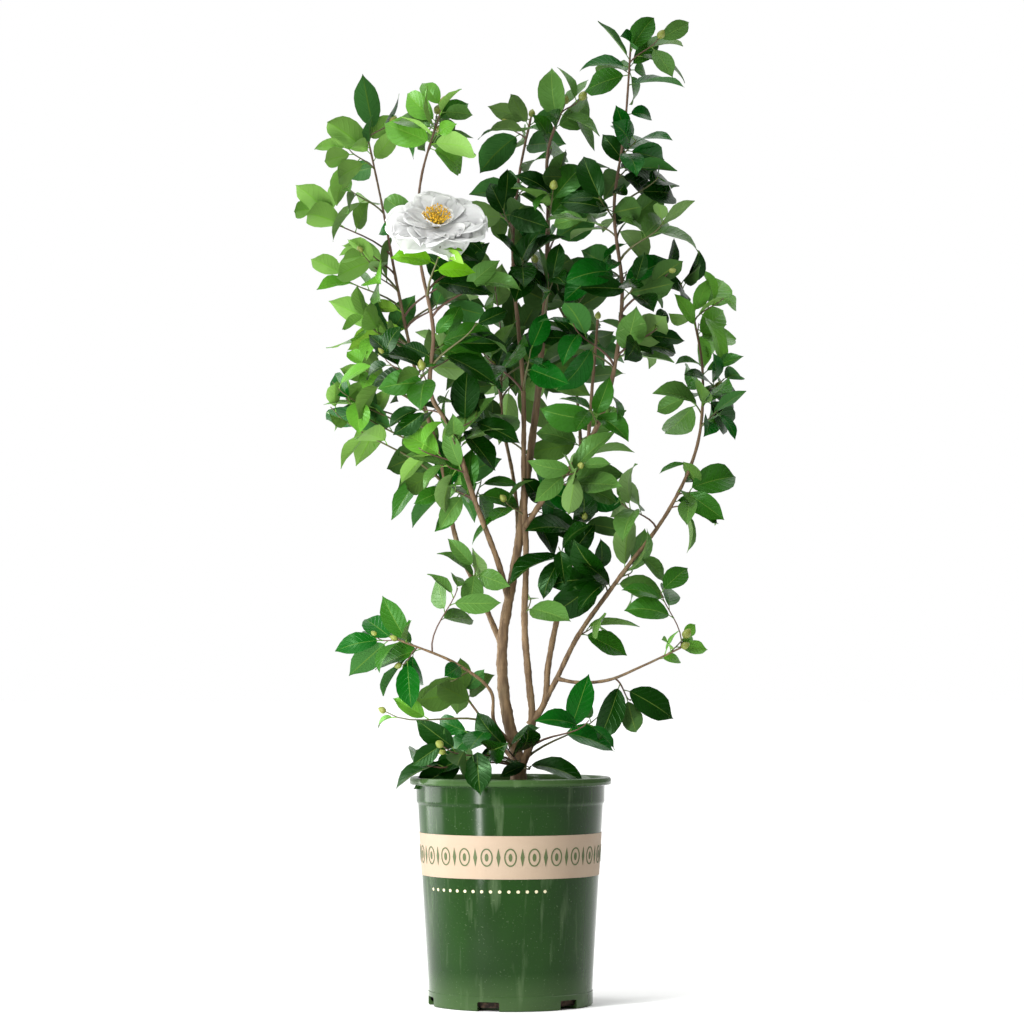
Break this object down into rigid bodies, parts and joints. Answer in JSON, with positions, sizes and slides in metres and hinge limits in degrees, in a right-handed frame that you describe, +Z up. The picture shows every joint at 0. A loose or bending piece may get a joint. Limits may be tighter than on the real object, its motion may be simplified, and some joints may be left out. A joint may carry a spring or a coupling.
{
  "type": "potted camellia shrub",
  "caption": "Upright multi-stemmed camellia shrub with glossy oval leaves and a white bloom, growing in a round tapered nursery pot with a rolled rim.",
  "frame": {"origin": "centre of the pot's flat underside, at the level of whatever it stands on", "axes": "+Z up along the pot's axis; +X to the right as the plant is seen from its front; +Y away to its back"},
  "size_m": [0.613, 0.4096, 1.3224],
  "materials": {
    "pot_green": "satin",
    "potting_mix": "matte",
    "bark": "matte",
    "foliage": "satin",
    "label_band": "matte",
    "petal": "matte"
  },
  "bodies": {
    "root": {"pot": "pot_green", "potting_mix": "potting_mix", "trunk": "bark", "stem_middle": "bark", "stem_right": "bark", "stem_far_right": "bark", "bough_right": "bark", "bough_front_left": "bark", "bough_back_left": "bark", "bough_back": "bark", "bough_back_right": "bark", "shoot_low_left": "bark", "shoot_low_right": "bark", "shoot_low_back": "bark", "leaves_right_tip": "foliage", "leaves_right_high": "foliage", "leaves_right_mid": "foliage", "leaves_right_low": "foliage", "leaves_right_inner": "foliage", "leaves_far_high": "foliage", "leaves_far_mid": "foliage", "leaves_far_low": "foliage", "leaves_far_inner": "foliage", "leaves_top_middle": "foliage", "leaves_top_left": "foliage", "leaves_upper_front": "foliage", "leaves_upper_back": "foliage", "leaves_mid_front_left": "foliage", "leaves_mid_front_right": "foliage", "leaves_mid_back_left": "foliage", "leaves_mid_back_right": "foliage", "leaves_core_front_left": "foliage", "leaves_core_front_right": "foliage", "leaves_core_back_left": "foliage", "leaves_core_back_right": "foliage", "leaves_far_back": "foliage", "leaves_low_front_right": "foliage", "leaves_low_front": "foliage", "leaves_low_back_right": "foliage", "leaves_hanging": "foliage", "leaves_left_front": "foliage", "leaves_left_back": "foliage", "leaves_left_low": "foliage", "leaves_crest_back_left": "foliage", "leaves_crest_front_left": "foliage", "leaves_side_upper": "foliage", "leaves_side_mid": "foliage", "leaves_flower": "foliage", "leaves_side_low": "foliage", "leaves_side_out": "foliage", "leaves_side_front": "foliage", "leaves_shoot_left": "foliage", "leaves_shoot_base": "foliage", "leaves_rim": "foliage", "leaves_rim_front": "foliage", "leaves_shoot_right": "foliage", "leaves_shoot_right_tip": "foliage", "leaves_low_back": "foliage", "leaves_low_back_side": "foliage"}
  },
  "joints": []
}
